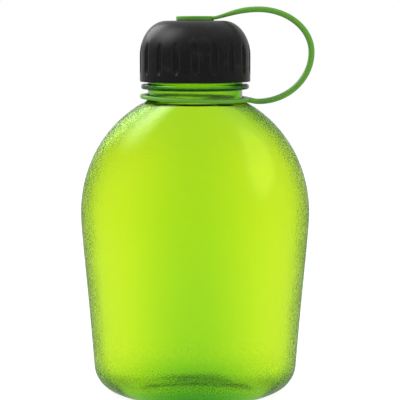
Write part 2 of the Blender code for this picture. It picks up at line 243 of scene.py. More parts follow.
def body_ring(level, taken_side=0.0, taken_front=0.0):
    """One ring of the outside, less what the base's rounded edge takes off."""
    rise = shoulder_rise(level)
    power = 2 / (SQUARENESS + (2 - SQUARENESS) * rise)
    bend = (BASE_BEND + (BEND - BASE_BEND) * smooth(level / BEND_RISE)) * (1 - rise)
    wide = half_size(level, HALF_WIDTH, BASE_WIDTH / 2, SHOULDER_RADIUS) - taken_side
    deep = half_size(level, BODY_DEPTH / 2, BASE_DEPTH / 2, SHOULDER_RADIUS) - taken_front
    angle = 2 * np.pi * np.arange(BODY_SIDES) / BODY_SIDES
    across = np.sign(np.cos(angle)) * np.abs(np.cos(angle)) ** power
    along = np.sign(np.sin(angle)) * np.abs(np.sin(angle)) ** power
    ring = np.empty((BODY_SIDES, 3))
    ring[:, 0] = wide * across
    ring[:, 1] = deep * along + bend * (across**2 - BEND_PIVOT)
    ring[:, 2] = level
    return ring


def body_levels():
    """Levels of the outside's rings above the base's edge: denser where the shoulder turns."""
    side = np.linspace(BASE_EDGE, WIDEST_LEVEL, SIDE_RINGS)[1:]
    turn = np.sin(np.linspace(0, np.pi / 2, SHOULDER_RINGS))[1:]
    return list(side) + list(WIDEST_LEVEL + (BODY_HEIGHT - WIDEST_LEVEL) * turn)


outside = []
for i in range(EDGE_STEPS + 1):
    turn_angle = 90 * DEG * i / EDGE_STEPS
    taken = 1 - math.sin(turn_angle)
    edge_level = BASE_EDGE * (1 - math.cos(turn_angle))
    outside.append(body_ring(edge_level, BASE_EDGE * taken, BASE_EDGE_FRONT * taken))
for level in body_levels():
    outside.append(body_ring(level))
outside = np.array(outside)
print("outside of the body:", outside.shape[0], "rings")

# %% [markdown]
# A blown wall isn't even. It is thick in the middle of the front and back, where the tube was close to the
# mould, and thin towards the two narrow ends, where it stretched most. That is why the photograph shows two
# bright yellow bands near the sides: light passes less plastic there. So the inside is the outside moved in
# by a wall that varies, and the colour comes from the depth of plastic, not from paint.

# %% Body inside
WALL_MIDDLE = 1.85 * MM  # at the shoulder
WALL_SAG = 1.20 * MM  # thicker by this at the base, because hot plastic sags
WALL_SIDE = 1.15 * MM
SIDE_SAG = 0.25 * MM
WALL_TOP = 2.0 * MM
TOP_POWER = 5  # how late the wall thickens towards the neck
WALL_REACH = 0.78  # share of the half width where the wall is thinnest
BASE_WALL = 5.5 * MM
BASE_WALL_RISE = 1.3 * BASE_EDGE  # how far up the thick base reaches
CORNER_THINNING = 0.70  # how much thinner the base's edge is at the two narrow ends

ring_way = np.roll(outside, -1, axis=1) - np.roll(outside, 1, axis=1)
up_way = np.gradient(outside, axis=0)
outward = np.cross(ring_way, up_way)
outward /= np.linalg.norm(outward, axis=2, keepdims=True)

body_height = outside[:, :, 2]
sideways = np.abs(outside[:, :, 0]) / np.abs(outside[:, :, 0]).max(axis=1, keepdims=True)
thinning = smooth_all(sideways / WALL_REACH)
sagged = 1 - body_height / BODY_HEIGHT
front_wall = WALL_MIDDLE + WALL_SAG * sagged
side_wall = WALL_SIDE + SIDE_SAG * sagged
wall = front_wall + (side_wall - front_wall) * thinning
near_top = (body_height - WIDEST_LEVEL) / (BODY_HEIGHT - WIDEST_LEVEL)
wall = wall + (WALL_TOP - wall) * smooth_all(near_top) ** TOP_POWER
near_base = 1 - smooth_all(body_height / BASE_WALL_RISE)
wall = wall + (BASE_WALL - wall) * near_base * (1 - CORNER_THINNING * thinning)
inside = outside - outward * wall[:, :, None]
print("wall from", round(wall.min() / MM, 2), "to", round(wall.max() / MM, 2), "mm")

# %% [markdown]
# Before it was blown, the tube was pinched shut at the base. That leaves a floor that is thicker in its
# middle, and a ridge along the pinch. Both lie a little off the middle, and show through the front as a
# dark line above the base. A bump texture couldn't bend the light as they do, so the floor's own rings are
# raised by a formula.

# %% Floor with its pinch
CROWN = 3.4 * MM
CROWN_REACH = 15.0 * MM
CROWN_BACK = 6.0 * MM  # how far the crown lies behind the neck's axis
SEAM = 3.0 * MM  # height of the ridge
SEAM_SPREAD = 0.9 * MM
SEAM_LENGTH = 31.0 * MM  # half of its length
SEAM_POWER = 8  # how suddenly it ends
SEAM_FRONT = 8.0 * MM  # how far it lies in front of the axis
PINCH_SIDE = 5.0 * MM  # and both to the right of it
FLOOR_EVEN = 2 / 3  # share of the way to the rim where both begin to fade
FLOOR_RINGS = 64
BASE_STEP = 8  # the flat underside needs fewer rings

floor_rim = inside[0]
floor_middle = floor_rim.mean(axis=0)
base_rim = outside[0]
base_middle = base_rim.mean(axis=0)
floor_rings = []
base_rings = []
for i in range(1, FLOOR_RINGS):
    share = i / FLOOR_RINGS
    ring = floor_middle + (floor_rim - floor_middle) * share
    crown_away = (ring[:, 0] - PINCH_SIDE) ** 2 + (ring[:, 1] - CROWN_BACK) ** 2
    crown = CROWN * np.exp(-crown_away / CROWN_REACH**2)
    seam_away = (ring[:, 1] + SEAM_FRONT) / SEAM_SPREAD
    seam_along = (ring[:, 0] - PINCH_SIDE) / SEAM_LENGTH
    seam = SEAM * np.exp(-(seam_away**2)) / (1 + seam_along**SEAM_POWER)
    fade = 1 - smooth((share - FLOOR_EVEN) / (1 - FLOOR_EVEN))
    ring[:, 2] += (crown + seam) * fade
    floor_rings.append(ring)
    if i % BASE_STEP == 0:
        base_rings.append(base_middle + (base_rim - base_middle) * share)
floor_top = max(ring[:, 2].max() for ring in floor_rings)
print("floor up to", round(floor_top / MM, 1), "mm above the ground")

# %% [markdown]
# The neck is turned: a rounded root, a plain neck for the tether's ring, a rounded collar, and the finish
# up to the lip. It was stretched least when the bottle was blown, so its wall is thick and looks a deeper
# green. A lathed curve could make it, but rings in code run straight on from the body's own rings, so the
# clear skin has no seam.

# %% Neck outline
NECK_WALL = 2.3 * MM  # at the lip
NECK_THICK = 3.2 * MM  # lower down, where the neck grows out of the shoulder
NECK_EASE = 7.0 * MM  # length over which the one runs into the other
NECK_FILLET = 2.6 * MM
ROOT_SLOPE = 29.5 * DEG  # the shoulder's slope where the neck grows out of it
COLLAR_FOOT = BODY_HEIGHT + 7.65 * MM
COLLAR_TOP = COLLAR_FOOT + 2.9 * MM
COLLAR_RADIUS = NECK_RADIUS + 3.75 * MM
COLLAR_ROUND = 1.3 * MM
COLLAR_FILLET = 0.5 * MM
COLLAR_STEPS = 10
LIP_ROUND = 0.7 * MM
BORE_RADIUS = NECK_RADIUS - NECK_WALL
BORE_STEPS = 24
ROOT_STEPS = 10

root_reach = NECK_FILLET * (1 - math.sin(ROOT_SLOPE))
root_rise = (LEDGE - root_reach) * math.tan(ROOT_SLOPE)
root_radius = NECK_RADIUS + NECK_FILLET
root_level = BODY_HEIGHT + root_rise + NECK_FILLET * math.cos(ROOT_SLOPE)
neck_profile = arc((root_radius, root_level), NECK_FILLET, 270 - ROOT_SLOPE / DEG, 180)
collar_root = NECK_RADIUS + COLLAR_FILLET
collar_rim = COLLAR_RADIUS - COLLAR_ROUND
neck_profile += arc((collar_root, COLLAR_FOOT - COLLAR_FILLET), COLLAR_FILLET, 180, 90)
neck_profile += arc((collar_rim, COLLAR_FOOT + COLLAR_ROUND), COLLAR_ROUND, -90, 0, COLLAR_STEPS)
neck_profile += arc((collar_rim, COLLAR_TOP - COLLAR_ROUND), COLLAR_ROUND, 0, 90, COLLAR_STEPS)
neck_profile += arc((collar_root, COLLAR_TOP + COLLAR_FILLET), COLLAR_FILLET, 270, 180)

lip_profile = arc((NECK_RADIUS - LIP_ROUND, LIP_LEVEL - LIP_ROUND), LIP_ROUND, 0, 90)
lip_profile += arc((BORE_RADIUS + LIP_ROUND, LIP_LEVEL - LIP_ROUND), LIP_ROUND, 90, 180)
for radius, level in straight(lip_profile[-1], (BORE_RADIUS, root_level), BORE_STEPS):
    thicker = (NECK_THICK - NECK_WALL) * smooth((COLLAR_TOP + NECK_EASE - level) / NECK_EASE)
    lip_profile.append((radius - thicker, level))
for i in range(1, ROOT_STEPS + 1):
    root_wall = NECK_THICK + (WALL_TOP - NECK_THICK) * smooth(i / ROOT_STEPS)
    turn_angle = math.pi + (90 * DEG - ROOT_SLOPE) * i / ROOT_STEPS
    reach = NECK_FILLET + root_wall
    inner_radius = root_radius + reach * math.cos(turn_angle)
    lip_profile.append((inner_radius, root_level + reach * math.sin(turn_angle)))
print("neck outline:", len(neck_profile), "points outside,", len(lip_profile), "over the lip and inside")

# %% [markdown]
# The finish carries a thread with two starts. It could be a swept ridge joined by a Boolean, but on clear
# plastic every seam shows. Raising the neck's own rings along a helix gives one clean skin, with soft
# flanks as a mould leaves them. The cap uses the same helper, with the ridge pointing inwards.

# %% Thread
THREAD_STARTS = 2
THREAD_LEAD = 8.0 * MM
THREAD_TURNS = 1.15
THREAD_HEIGHT = 1.6 * MM
THREAD_ROOT = 2.5 * MM
THREAD_CREST = 1.1 * MM
THREAD_LEVEL = COLLAR_TOP + 3.3 * MM
THREAD_RUN_OUT = 0.1  # turns over which a ridge rises from its wall


def ridge(angle, level, first_level):
    """Height of the thread at a point of its wall, from 0 to 1."""
    highest = 0.0
    for start in range(THREAD_STARTS):
        turned = (angle / (2 * math.pi) - start / THREAD_STARTS) % 1.0
        while turned <= THREAD_TURNS:
            away = abs(level - first_level - THREAD_LEAD * turned)
            flank = (THREAD_ROOT / 2 - away) / ((THREAD_ROOT - THREAD_CREST) / 2)
            ends = min(turned, THREAD_TURNS - turned) / THREAD_RUN_OUT
            highest = max(highest, smooth(flank) * smooth(ends))
            turned += 1.0
    return highest


def threaded(radius, level, count, height, first_level):
    """A ring of a wall, raised where the thread crosses it."""
    ring = []
    for j in range(count):
        angle = 2 * math.pi * j / count
        reach = radius + height * ridge(angle, level, first_level)
        ring.append((reach * math.cos(angle), reach * math.sin(angle), level))
    return ring


FINISH_STEPS = 58
finish_foot = COLLAR_TOP + COLLAR_FILLET
finish_top = LIP_LEVEL - LIP_ROUND
finish_rings = []
for i in range(1, FINISH_STEPS):
    level = finish_foot + (finish_top - finish_foot) * i / FINISH_STEPS
    finish_rings.append(threaded(NECK_RADIUS, level, BODY_SIDES, THREAD_HEIGHT, THREAD_LEVEL))
print("threaded finish:", len(finish_rings), "rings")

# %% [markdown]
# Now the bottle is one closed skin: under the base, up the outside, over the lip, down the inside and
# across the floor. Clear plastic has to be closed like this, because the light must know when it is in the
# plastic and when it is not.

# %% Bottle
neck_rings = [circle(r, z, BODY_SIDES) for r, z in neck_profile]
lip_rings = [circle(r, z, BODY_SIDES) for r, z in lip_profile]
outer_rings = base_rings + list(outside) + neck_rings + finish_rings
inner_rings = lip_rings + list(inside[::-1]) + floor_rings[::-1]
bottle = piece_from_rings("clear_bottle", outer_rings + inner_rings, sharp=60)
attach(bottle, "bottle")
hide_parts("bottle_shell")

# %% [markdown]
# The real mould gave the skin a fine stipple. In the photograph it stands out at the two sides, over the
# shoulder and just above the base, and is all but gone in the middle. Two masks on the mesh's points hold
# that grading for the material: one for the depth of the pits, one for the frost between them. They could
# be painted by hand, but a formula on the body's own shape is even on both sides.

# %% Where the stipple shows
STIPPLE_START = 0.76  # share of the half width from where the stipple stands out
STIPPLE_CLIMB = 0.14  # how much nearer to the middle it starts at the neck
STIPPLE_FADE = 0.28
STIPPLE_RISE = 28.0 * MM  # how far it reaches up from the base
STIPPLE_FOOT = 6.0 * MM  # the rim below it is smooth
BASE_DEPTH_SHARE = 0.30  # depth of the pits above the base
BASE_FROST_SHARE = 0.78  # and the frost between them
PLAIN_RINGS = 3  # smooth rings under the neck

starts = STIPPLE_START - STIPPLE_CLIMB * np.clip(near_top, 0, 1) ** 2
grade = smooth_all((sideways - starts) / STIPPLE_FADE)
low_down = np.clip((STIPPLE_RISE - body_height) / STIPPLE_RISE * 2, 0, 1)
low_down = low_down * np.clip(body_height / STIPPLE_FOOT - 1, 0, 1)
skin_start = len(base_rings) * BODY_SIDES
for name, at_base in (("stippled", BASE_DEPTH_SHARE), ("frosted", BASE_FROST_SHARE)):
    values = np.maximum(grade, at_base * low_down)
    values[-PLAIN_RINGS:] = 0
    skin = np.zeros(len(bottle.data.vertices))
    skin[skin_start : skin_start + values.size] = values.ravel()
    bottle.data.attributes.new(name, "FLOAT", "POINT").data.foreach_set("value", skin)
    print(name, "share of the body:", round(float(values.mean()), 2))

# %% [markdown]
# The cap is one hollow moulding: a dome, a skirt with shallow flutes to grip, and inside it a thread, the
# land for the seal and a boss for the stud. The flutes could be cut by rods, which leaves knife edges.
# Taking the smaller of the cap's radius and the rod's near side, with a soft minimum, gives the same flutes
# with their edges rounded.

# %% Cap
CAP_SIDES = 360
CROWN_RADIUS = 15.7 * MM
DOME_HEIGHT = 19.3 * MM
CROWN_WALL = 3.0 * MM
RIM_ROUND = 0.6 * MM
CAVITY_ROUND = 6.0 * MM
THREAD_GAP = 0.5 * MM
FACE_GAP = 0.3 * MM
CAP_BORE = NECK_RADIUS + THREAD_HEIGHT + THREAD_GAP
LAND_LEVEL = seal_high[2] + FACE_GAP
SEAL_OVERLAP = 0.8 * MM
SEAL_BORE = BORE_RADIUS - SEAL_OVERLAP
FLUTES = 18
FLUTE_DEPTH = 1.1 * MM
FLUTE_RADIUS = 2.3 * MM
FLUTE_FOOT = 3.0 * MM
FLUTE_FADE = 5.0 * MM  # length over which a flute runs out at its foot
FLUTE_SOFTNESS = 0.15 * MM
STUD_HOLE = 2.9 * MM
STUD_HOLE_FLOOR = stud_low[2] - FACE_GAP
BOSS_RADIUS = STUD_HOLE + 2.6 * MM
BOSS_FLOOR = 2.0 * MM
CROWN_EDGE = 0.3 * MM
CROWN_STEPS = 6
DOME_STEPS = 44
SKIRT_STEPS = 44
CAP_THREAD_STEPS = 48


def soft_least(a, b, softness):
    """The smaller of two lengths, rounded off where they are nearly the same."""
    share = max(0.0, 1 - abs(a - b) / softness)
    return min(a, b) - softness * share * share / 4


def fluted(radius, level):
    """A ring of the cap's outside, pressed in along each flute."""
    out = CAP_RADIUS - FLUTE_DEPTH + FLUTE_RADIUS
    below = max(0.0, CAP_LEVEL + FLUTE_FOOT + FLUTE_FADE - level) / FLUTE_FADE
    rod = FLUTE_RADIUS * math.sqrt(max(0.0, 1 - below**2))
    pitch = 2 * math.pi / FLUTES
    ring = []
    for j in range(CAP_SIDES):
        angle = 2 * math.pi * j / CAP_SIDES
        off = ((angle / pitch) % 1.0 - 0.5) * pitch
        side = out * math.sin(off)
        reach = radius
        if abs(side) < rod:
            near = out * math.cos(off) - math.sqrt(rod**2 - side**2)
            reach = soft_least(radius, near, FLUTE_SOFTNESS)
        elif rod > 0:
            near = out * math.cos(off) + abs(side) - rod
            reach = soft_least(radius, near, FLUTE_SOFTNESS)
        ring.append((reach * math.cos(angle), reach * math.sin(angle), level))
    return ring


dome_foot = (CROWN_RADIUS, CAP_TOP - DOME_HEIGHT)
dome_reach = CAP_RADIUS - CROWN_RADIUS
cap_rings = [circle(STUD_HOLE, STUD_HOLE_FLOOR, CAP_SIDES)]
cap_rings.append(circle(STUD_HOLE, CAP_TOP - CROWN_EDGE, CAP_SIDES))
crown_start = (STUD_HOLE + CROWN_EDGE, CAP_TOP)
crown_profile = [crown_start] + straight(crown_start, (CROWN_RADIUS, CAP_TOP), CROWN_STEPS)
cap_rings += [circle(r, z, CAP_SIDES) for r, z in crown_profile]
for r, z in arc(dome_foot, dome_reach, 90, 0, DOME_STEPS, DOME_HEIGHT)[1:]:
    cap_rings.append(fluted(r, z))
skirt_foot = CAP_LEVEL + RIM_ROUND
for r, z in straight((CAP_RADIUS, CAP_TOP - DOME_HEIGHT), (CAP_RADIUS, skirt_foot), SKIRT_STEPS):
    cap_rings.append(fluted(r, z))
rim = arc((CAP_RADIUS - RIM_ROUND, skirt_foot), RIM_ROUND, 0, -90)[1:]
rim += arc((CAP_BORE + RIM_ROUND, skirt_foot), RIM_ROUND, 270, 180)
cap_rings += [circle(r, z, CAP_SIDES) for r, z in rim]
cap_thread_level = THREAD_LEVEL + THREAD_LEAD / THREAD_STARTS / 2
for r, z in straight((CAP_BORE, skirt_foot), (CAP_BORE, LAND_LEVEL), CAP_THREAD_STEPS):
    cap_rings.append(threaded(r, z, CAP_SIDES, -THREAD_HEIGHT, cap_thread_level))
ceiling = CAP_TOP - CROWN_WALL
cavity = [(SEAL_BORE, LAND_LEVEL)]
cavity += arc((SEAL_BORE - CAVITY_ROUND, ceiling - CAVITY_ROUND), CAVITY_ROUND, 0, 90)
cavity += [(BOSS_RADIUS, ceiling), (BOSS_RADIUS, STUD_HOLE_FLOOR - BOSS_FLOOR)]
cap_rings += [circle(r, z, CAP_SIDES) for r, z in cavity]
cap = piece_from_rings("fluted_cap", cap_rings, sharp=50)
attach(cap, "cap")
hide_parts("cap_shell")

# %% [markdown]
# The seal is a flat silicone ring with rounded edges, which is pressed on the lip. The stud is a turned pin
# with a flat, slightly dished head, which the eyelet turns under. The seal shows only when the cap is off.
# Both could be cut from primitives, but a turned outline rounds their edges in one go.


# %% Seal and stud
def round_band(inner, outer, low, high, edge, steps=5):
    """The closed outline of a flat ring with rounded edges."""
    outline = arc((outer - edge, low + edge), edge, -90, 0, steps)
    outline += arc((outer - edge, high - edge), edge, 0, 90, steps)
    outline += arc((inner + edge, high - edge), edge, 90, 180, steps)
    outline += arc((inner + edge, low + edge), edge, 180, 270, steps)
    return outline


RING_SIDES = 144
SEAL_RADIUS = seal_high[0]
SEAL_EDGE = 0.5 * MM
seal_outline = round_band(SEAL_BORE, SEAL_RADIUS, seal_low[2], seal_high[2], SEAL_EDGE)
seal = piece_from_rings("lip_seal", [circle(r, z, RING_SIDES) for r, z in seal_outline], closed=True)
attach(seal, "cap")
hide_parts("cap_seal")

STUD_RADIUS = 2.6 * MM
STUD_EDGE = 0.35 * MM
STUD_SIDES = 72
STUD_HEAD_RADIUS = stud_high[0]
STUD_HEAD_FOOT = stud_high[2] - 0.9 * MM
HEAD_DISH = 0.25 * MM
DISH_SWEEP = 60
stud_profile = arc((STUD_RADIUS - STUD_EDGE, stud_low[2] + STUD_EDGE), STUD_EDGE, -90, 0)
stud_profile += [(STUD_RADIUS, STUD_HEAD_FOOT), (STUD_HEAD_RADIUS - STUD_EDGE / 2, STUD_HEAD_FOOT)]
stud_profile += arc((STUD_HEAD_RADIUS - STUD_EDGE, stud_high[2] - STUD_EDGE), STUD_EDGE, 0, 90)
stud_profile += arc((0, stud_high[2]), STUD_HEAD_RADIUS - 2 * STUD_EDGE, 0, -DISH_SWEEP, rise=HEAD_DISH)
stud = piece_from_rings("swivel_stud_look", [circle(r, z, STUD_SIDES) for r, z in stud_profile])
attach(stud, "stud")
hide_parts("swivel_stud")

# %% [markdown]
# The tether is one soft moulding: an eyelet, a band and a ring. The eyelet rises with the cap and the ring
# stays on the neck, so it is shown as three pieces, and the band blends between the two. Its route is the
# solid's own: two quarter ellipses make the loop, and short eased stretches lead into the eyelet and the
# ring.

# %% Tether route
RING_BORE = NECK_RADIUS + 0.9 * MM
RING_RADIUS = RING_BORE + 3.4 * MM
RING_HEIGHT = 2.1 * MM
RING_EDGE = 0.7 * MM
RING_TILT_FRONT = 1.0 * DEG
RING_TILT_SIDE = 2.2 * DEG
LEDGE_LEVEL = BODY_HEIGHT + 0.2 * MM  # the solid's ledge, which its ring lies on
RING_DROP = RING_RADIUS * math.sin(math.hypot(RING_TILT_FRONT, RING_TILT_SIDE))
RING_LEVEL = LEDGE_LEVEL + FACE_GAP + RING_HEIGHT / 2 + RING_DROP
EYELET_THICKNESS = 2.2 * MM
EYELET_MIDDLE = EYELET_LEVEL + EYELET_THICKNESS / 2
ROOT_DEPTH = 1.6 * MM
CREST_RISE = 4.8 * MM
FOOT_SAG = 0.9 * MM
FOOT_OUT = 4.3 * MM
LOOP_REACH = 33.6 * MM
LOOP_LIFT = 1.7 * MM
ROOT_EASE = 0.22
CREST_EASE = 0.5
FOOT_EASE = 0.4
ROUTE_STEPS = 60


def tether_route():
    ring_root = RING_RADIUS - ROOT_DEPTH
    ring_level = RING_LEVEL - ring_root * math.sin(RING_TILT_SIDE)
    middle = RING_RADIUS + FOOT_OUT
    crest = Vector((middle, 0, EYELET_MIDDLE + CREST_RISE))
    foot = Vector((middle, 0, ring_level - FOOT_SAG))
    far = Vector((RING_RADIUS + LOOP_REACH, 0, (crest.z + foot.z) / 2 + LOOP_LIFT))
    eyelet_root = Vector((EYELET_RADIUS - ROOT_DEPTH, 0, EYELET_MIDDLE))
    ring_point = Vector((ring_root, 0, ring_level))
    round_handle = 4 / 3 * (math.sqrt(2) - 1)
    out = Vector((far.x - middle, 0, 0)) * round_handle
    up = Vector((0, 0, crest.z - far.z)) * round_handle
    down = Vector((0, 0, foot.z - far.z)) * round_handle
    ease_off = Vector((middle - eyelet_root.x, 0, 0))
    ease_in = Vector((middle - ring_point.x, 0, 0))
    stretches = (
        (eyelet_root, eyelet_root + ROOT_EASE * ease_off, crest - CREST_EASE * ease_off, crest),
        (crest, crest + out, far + up, far),
        (far, far + down, foot + out, foot),
        (foot, foot - FOOT_EASE * ease_in, ring_point + FOOT_EASE * ease_in, ring_point),
    )
    points = [eyelet_root]
    for stretch in stretches:
        points += interpolate_bezier(*stretch, ROUTE_STEPS + 1)[1:]
    return points


route = tether_route()
route_length = sum((b - a).length for a, b in zip(route, route[1:]))
print("tether band is", round(route_length / MM, 1), "mm long")

# %% [markdown]
# The band's section is a rectangle with well-rounded corners. It swells a little to a flare where it grows
# out of the eyelet and the ring, as a mould needs there. Sweeping a written section along the route gives
# that flare, which a curve object with one bevel can't.

# %% Tether pieces
STRAP_WIDTH = 6.5 * MM
STRAP_THICKNESS = 3.1 * MM
STRAP_ROOT = 1.8 * MM  # its thickness where it leaves the eyelet
RING_ROOT = 2.7 * MM  # and where it meets the ring
STRAP_TAPER = 20.0 * MM
STRAP_EDGE = 0.90  # corner radius as a share of half the thickness
FLARE = 2.2 * MM
FLARE_LENGTH = 6.0 * MM
STRAP_STEPS = 170


def strap_rings():
    wear_and_glint = np.concatenate([[0.0], np.cumsum([(b - a).length for a, b in zip(route, route[1:])])])
    flat = np.array([tuple(point) for point in route])
    slopes = np.gradient(flat, wear_and_glint, axis=0)
    rings = []
    for step in range(STRAP_STEPS + 1):
        length = route_length * step / STRAP_STEPS
        middle = Vector([np.interp(length, wear_and_glint, flat[:, k]) for k in range(3)])
        along = Vector([np.interp(length, wear_and_glint, slopes[:, k]) for k in range(3)]).normalized()
        across = Vector((0, 1, 0))
        raised = across.cross(along)
        to_end = min(length, route_length - length)
        at_eyelet = STRAP_ROOT + (STRAP_THICKNESS - STRAP_ROOT) * smooth(length / STRAP_TAPER)
        at_ring = RING_ROOT + (STRAP_THICKNESS - RING_ROOT) * smooth((route_length - length) / STRAP_TAPER)
        thick = min(at_eyelet, at_ring)
        wide = STRAP_WIDTH + 2 * FLARE * (1 - smooth(to_end / FLARE_LENGTH))
        edge = STRAP_EDGE * thick / 2
        outline = round_band(-wide / 2, wide / 2, -thick / 2, thick / 2, edge)
        rings.append([middle + across * side + raised * rise for side, rise in outline])
    return rings


strap = piece_from_rings("tether_band", strap_rings())
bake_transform(strap)
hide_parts("tether_strap")

# %% [markdown]
# The ring hangs loose round the neck and lies a little askew, as in the photograph. The eyelet is a disc
# with a seat for the stud's head. Both are turned outlines with rounded edges, so one helper draws their
# sections.

# %% Tether ring and eyelet
RING_LIE_FRONT = 0.9 * DEG  # a little flatter than the solid, to lie on the rounded root of the neck
RING_LIE_SIDE = 1.7 * DEG
ring_outline = round_band(RING_BORE, RING_RADIUS, -RING_HEIGHT / 2, RING_HEIGHT / 2, RING_EDGE)
neck_ring = piece_from_rings("neck_ring", [circle(r, z, RING_SIDES) for r, z in ring_outline], closed=True)
neck_ring.location = (0, 0, RING_LEVEL)
neck_ring.rotation_euler = (RING_LIE_FRONT, RING_LIE_SIDE, 0)
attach(neck_ring, "tether_ring")
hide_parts("tether_neck_ring")

EYELET_HOLE = 2.9 * MM
EYELET_SEAT = 5.3 * MM
EYELET_WEB = 0.9 * MM
EYELET_EDGE = 0.6 * MM
EYELET_PLAY = 0.06 * MM  # it all but lies on the cap
SEAT_EDGE = 0.25 * MM
eyelet_top = EYELET_LEVEL + EYELET_THICKNESS
seat_level = EYELET_LEVEL + EYELET_WEB
eyelet_foot = CAP_TOP + EYELET_PLAY
eyelet_outline = [(EYELET_HOLE, eyelet_foot)]
eyelet_outline += arc((EYELET_RADIUS - EYELET_EDGE, eyelet_foot + EYELET_EDGE), EYELET_EDGE, -90, 0)
eyelet_outline += arc((EYELET_RADIUS - EYELET_EDGE, eyelet_top - EYELET_EDGE), EYELET_EDGE, 0, 90)
eyelet_outline += arc((EYELET_SEAT + SEAT_EDGE, eyelet_top - SEAT_EDGE), SEAT_EDGE, 90, 180)
eyelet_outline += [(EYELET_SEAT, seat_level), (EYELET_HOLE, seat_level)]
eyelet = piece_from_rings("eyelet_disc", [circle(r, z, RING_SIDES) for r, z in eyelet_outline], closed=True)
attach(eyelet, "eyelet")
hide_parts("tether_eyelet")

# %% [markdown]
# Now the finishes. Moulded plastic is never a flat colour: the steel of the mould leaves a fine grain, and
# handling leaves soft scuffs that show as a change of gloss. Both are used by more than one material, so
# each is a node group with named sockets, built once. A group gives only heights, masks and values; the
# shaders stay in the materials.


# %% Node group: mould grain
def group_socket(group, name, kind, way, value=None):
    socket = group.interface.new_socket(name=name, in_out=way, socket_type=kind)
    if value is not None:
        socket.default_value = value


def new_node(tree, kind, inputs=None, **settings):
    """A node with its settings, and with values on the inputs that nothing is linked to."""
    node = tree.nodes.new(kind)
    for name, value in settings.items():
        setattr(node, name, value)
    for name, value in (inputs or {}).items():
        node.inputs[name].default_value = value
    return node


def join(tree, *pairs):
    """Links each output to the input beside it."""
    for output, feed in pairs:
        tree.links.new(output, feed)


def make_mould_grain():
    """Grain of a given size: a height for bump, and a gloss value around a middle."""
    group = bpy.data.node_groups.new("mould_grain", "ShaderNodeTree")
    group_socket(group, "Grains per metre", "NodeSocketFloat", "INPUT", 2000.0)
    group_socket(group, "Gloss middle", "NodeSocketFloat", "INPUT", 0.4)
    group_socket(group, "Gloss spread", "NodeSocketFloat", "INPUT", 0.1)
    group_socket(group, "Height", "NodeSocketFloat", "OUTPUT")
    group_socket(group, "Roughness", "NodeSocketFloat", "OUTPUT")
    feed = new_node(group, "NodeGroupInput")
    out = new_node(group, "NodeGroupOutput")
    place = new_node(group, "ShaderNodeTexCoord")
    fine = new_node(group, "ShaderNodeTexNoise", {"Detail": 3.0, "Roughness": 0.6})
    broad = new_node(group, "ShaderNodeTexNoise", {"Scale": 90.0, "Detail": 4.0})
    centred = new_node(group, "ShaderNodeMath", {1: 0.5}, operation="SUBTRACT")
    gloss = new_node(group, "ShaderNodeMath", operation="MULTIPLY_ADD")
    join(
        group,
        (place.outputs["Object"], fine.inputs["Vector"]),
        (place.outputs["Object"], broad.inputs["Vector"]),
        (feed.outputs["Grains per metre"], fine.inputs["Scale"]),
        (broad.outputs["Fac"], centred.inputs[0]),
        (centred.outputs[0], gloss.inputs[0]),
        (feed.outputs["Gloss spread"], gloss.inputs[1]),
        (feed.outputs["Gloss middle"], gloss.inputs[2]),
        (fine.outputs["Fac"], out.inputs["Height"]),
        (gloss.outputs[0], out.inputs["Roughness"]),
    )
    return group


mould_grain = make_mould_grain()
print("node group", mould_grain.name, "has", len(mould_grain.nodes), "nodes")

# %% [markdown]
# Hands rub the edges that stand proud, and dust settles in soft patches. Pointiness finds the edges and a
# noise gives the patches; the larger of the two is the mask. The lighter colour on proud edges is partly
# wear and partly painted highlight: on the cap it stands in for glints along the flutes. Painted wear would
# look alike, but this follows any change of shape.


# %% Node group: handling wear and painted edge glints
def make_handling_marks():
    """A soft mask of scuffed patches and fine dust, stronger on proud edges, where it also paints a glint.
    """
    group = bpy.data.node_groups.new("wear_and_edge_glints", "ShaderNodeTree")
    group_socket(group, "Amount", "NodeSocketFloat", "INPUT", 0.3)
    group_socket(group, "Clean colour", "NodeSocketColor", "INPUT", (0.5, 0.5, 0.5, 1.0))
    group_socket(group, "Rubbed and glint colour", "NodeSocketColor", "INPUT", (0.6, 0.6, 0.6, 1.0))
    group_socket(group, "Color", "NodeSocketColor", "OUTPUT")
    group_socket(group, "Mask", "NodeSocketFloat", "OUTPUT")
    feed = new_node(group, "NodeGroupInput")
    out = new_node(group, "NodeGroupOutput")
    place = new_node(group, "ShaderNodeTexCoord")
    edges = new_node(group, "ShaderNodeNewGeometry")
    patches = new_node(group, "ShaderNodeTexNoise", {"Scale": 160.0, "Detail": 6.0, "Roughness": 0.65})
    patch_range = {"From Min": 0.52, "From Max": 0.78, "To Max": 0.18}
    shaped = new_node(group, "ShaderNodeMapRange", patch_range, interpolation_type="SMOOTHSTEP")
    edge_range = {"From Min": 0.51, "From Max": 0.60}
    proud = new_node(group, "ShaderNodeMapRange", edge_range, interpolation_type="SMOOTHSTEP")
    both = new_node(group, "ShaderNodeMath", operation="MAXIMUM")
    scaled = new_node(group, "ShaderNodeMath", operation="MULTIPLY", use_clamp=True)
    mix = new_node(group, "ShaderNodeMix", data_type="RGBA")
    join(
        group,
        (place.outputs["Object"], patches.inputs["Vector"]),
        (patches.outputs["Fac"], shaped.inputs["Value"]),
        (edges.outputs["Pointiness"], proud.inputs["Value"]),
        (shaped.outputs["Result"], both.inputs[0]),
        (proud.outputs["Result"], both.inputs[1]),
        (both.outputs[0], scaled.inputs[0]),
        (feed.outputs["Amount"], scaled.inputs[1]),
        (scaled.outputs[0], mix.inputs["Factor"]),
        (feed.outputs["Clean colour"], mix.inputs["A"]),
        (feed.outputs["Rubbed and glint colour"], mix.inputs["B"]),
        (mix.outputs["Result"], out.inputs["Color"]),
        (scaled.outputs[0], out.inputs["Mask"]),
    )
    return group


